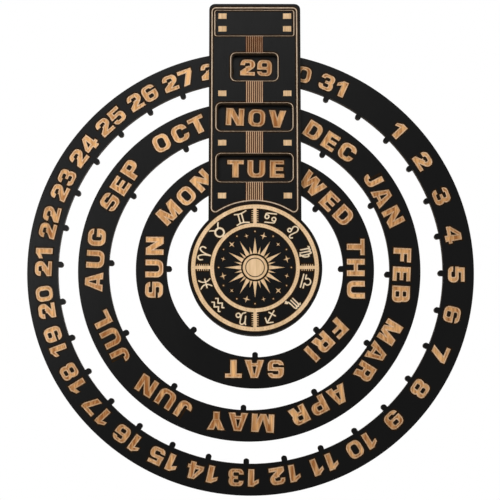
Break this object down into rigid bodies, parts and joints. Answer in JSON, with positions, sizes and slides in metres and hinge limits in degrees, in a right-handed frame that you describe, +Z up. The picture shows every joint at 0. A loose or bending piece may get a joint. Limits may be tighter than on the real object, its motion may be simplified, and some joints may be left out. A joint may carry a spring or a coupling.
{
  "type": "perpetual wall calendar",
  "caption": "Perpetual wall calendar: numbered date, month and weekday rings hang nested on nubs between two keyhole-shaped plates and show in windows.",
  "frame": {"origin": "centre of the keyhole's round entry, on the back face that lies on the wall", "axes": "+Z up the wall, +Y into the wall, so the front faces -Y and +X is to the right of someone looking at it"},
  "size_m": [0.3, 0.013, 0.3327],
  "materials": {
    "black_board": "black stained, satin",
    "engraved_wood": "engraved, matte",
    "plain_wood": "bare, matte"
  },
  "bodies": {
    "body": {"front_plate": "black_board", "back_plate": "black_board", "top_spacer": "black_board", "date_shelf": "black_board", "month_shelf": "black_board", "hub_spacer": "black_board", "peg_upper_left": "plain_wood", "peg_upper_right": "plain_wood", "peg_lower_left": "plain_wood", "peg_lower_right": "plain_wood", "peg_date_left": "plain_wood", "peg_date_right": "plain_wood", "peg_month_left": "plain_wood", "peg_month_right": "plain_wood", "peg_weekday_left": "plain_wood", "peg_weekday_right": "plain_wood"},
    "date_ring": {"date_ring": "black_board"},
    "month_ring": {"month_ring": "black_board"},
    "weekday_ring": {"weekday_ring": "black_board"}
  },
  "joints": [
    {"name": "date_turn", "type": "hinge", "parent": "body", "child": "date_ring", "pos_m": [-0.0029, -0.0065, -0.16197], "axis": [0, -1, 0], "continuous": true},
    {"name": "month_turn", "type": "hinge", "parent": "body", "child": "month_ring", "pos_m": [-0.0038, -0.0065, -0.16192], "axis": [0, -1, 0], "continuous": true},
    {"name": "weekday_turn", "type": "hinge", "parent": "body", "child": "weekday_ring", "pos_m": [0, -0.0065, -0.162], "axis": [0, -1, 0], "continuous": true}
  ]
}
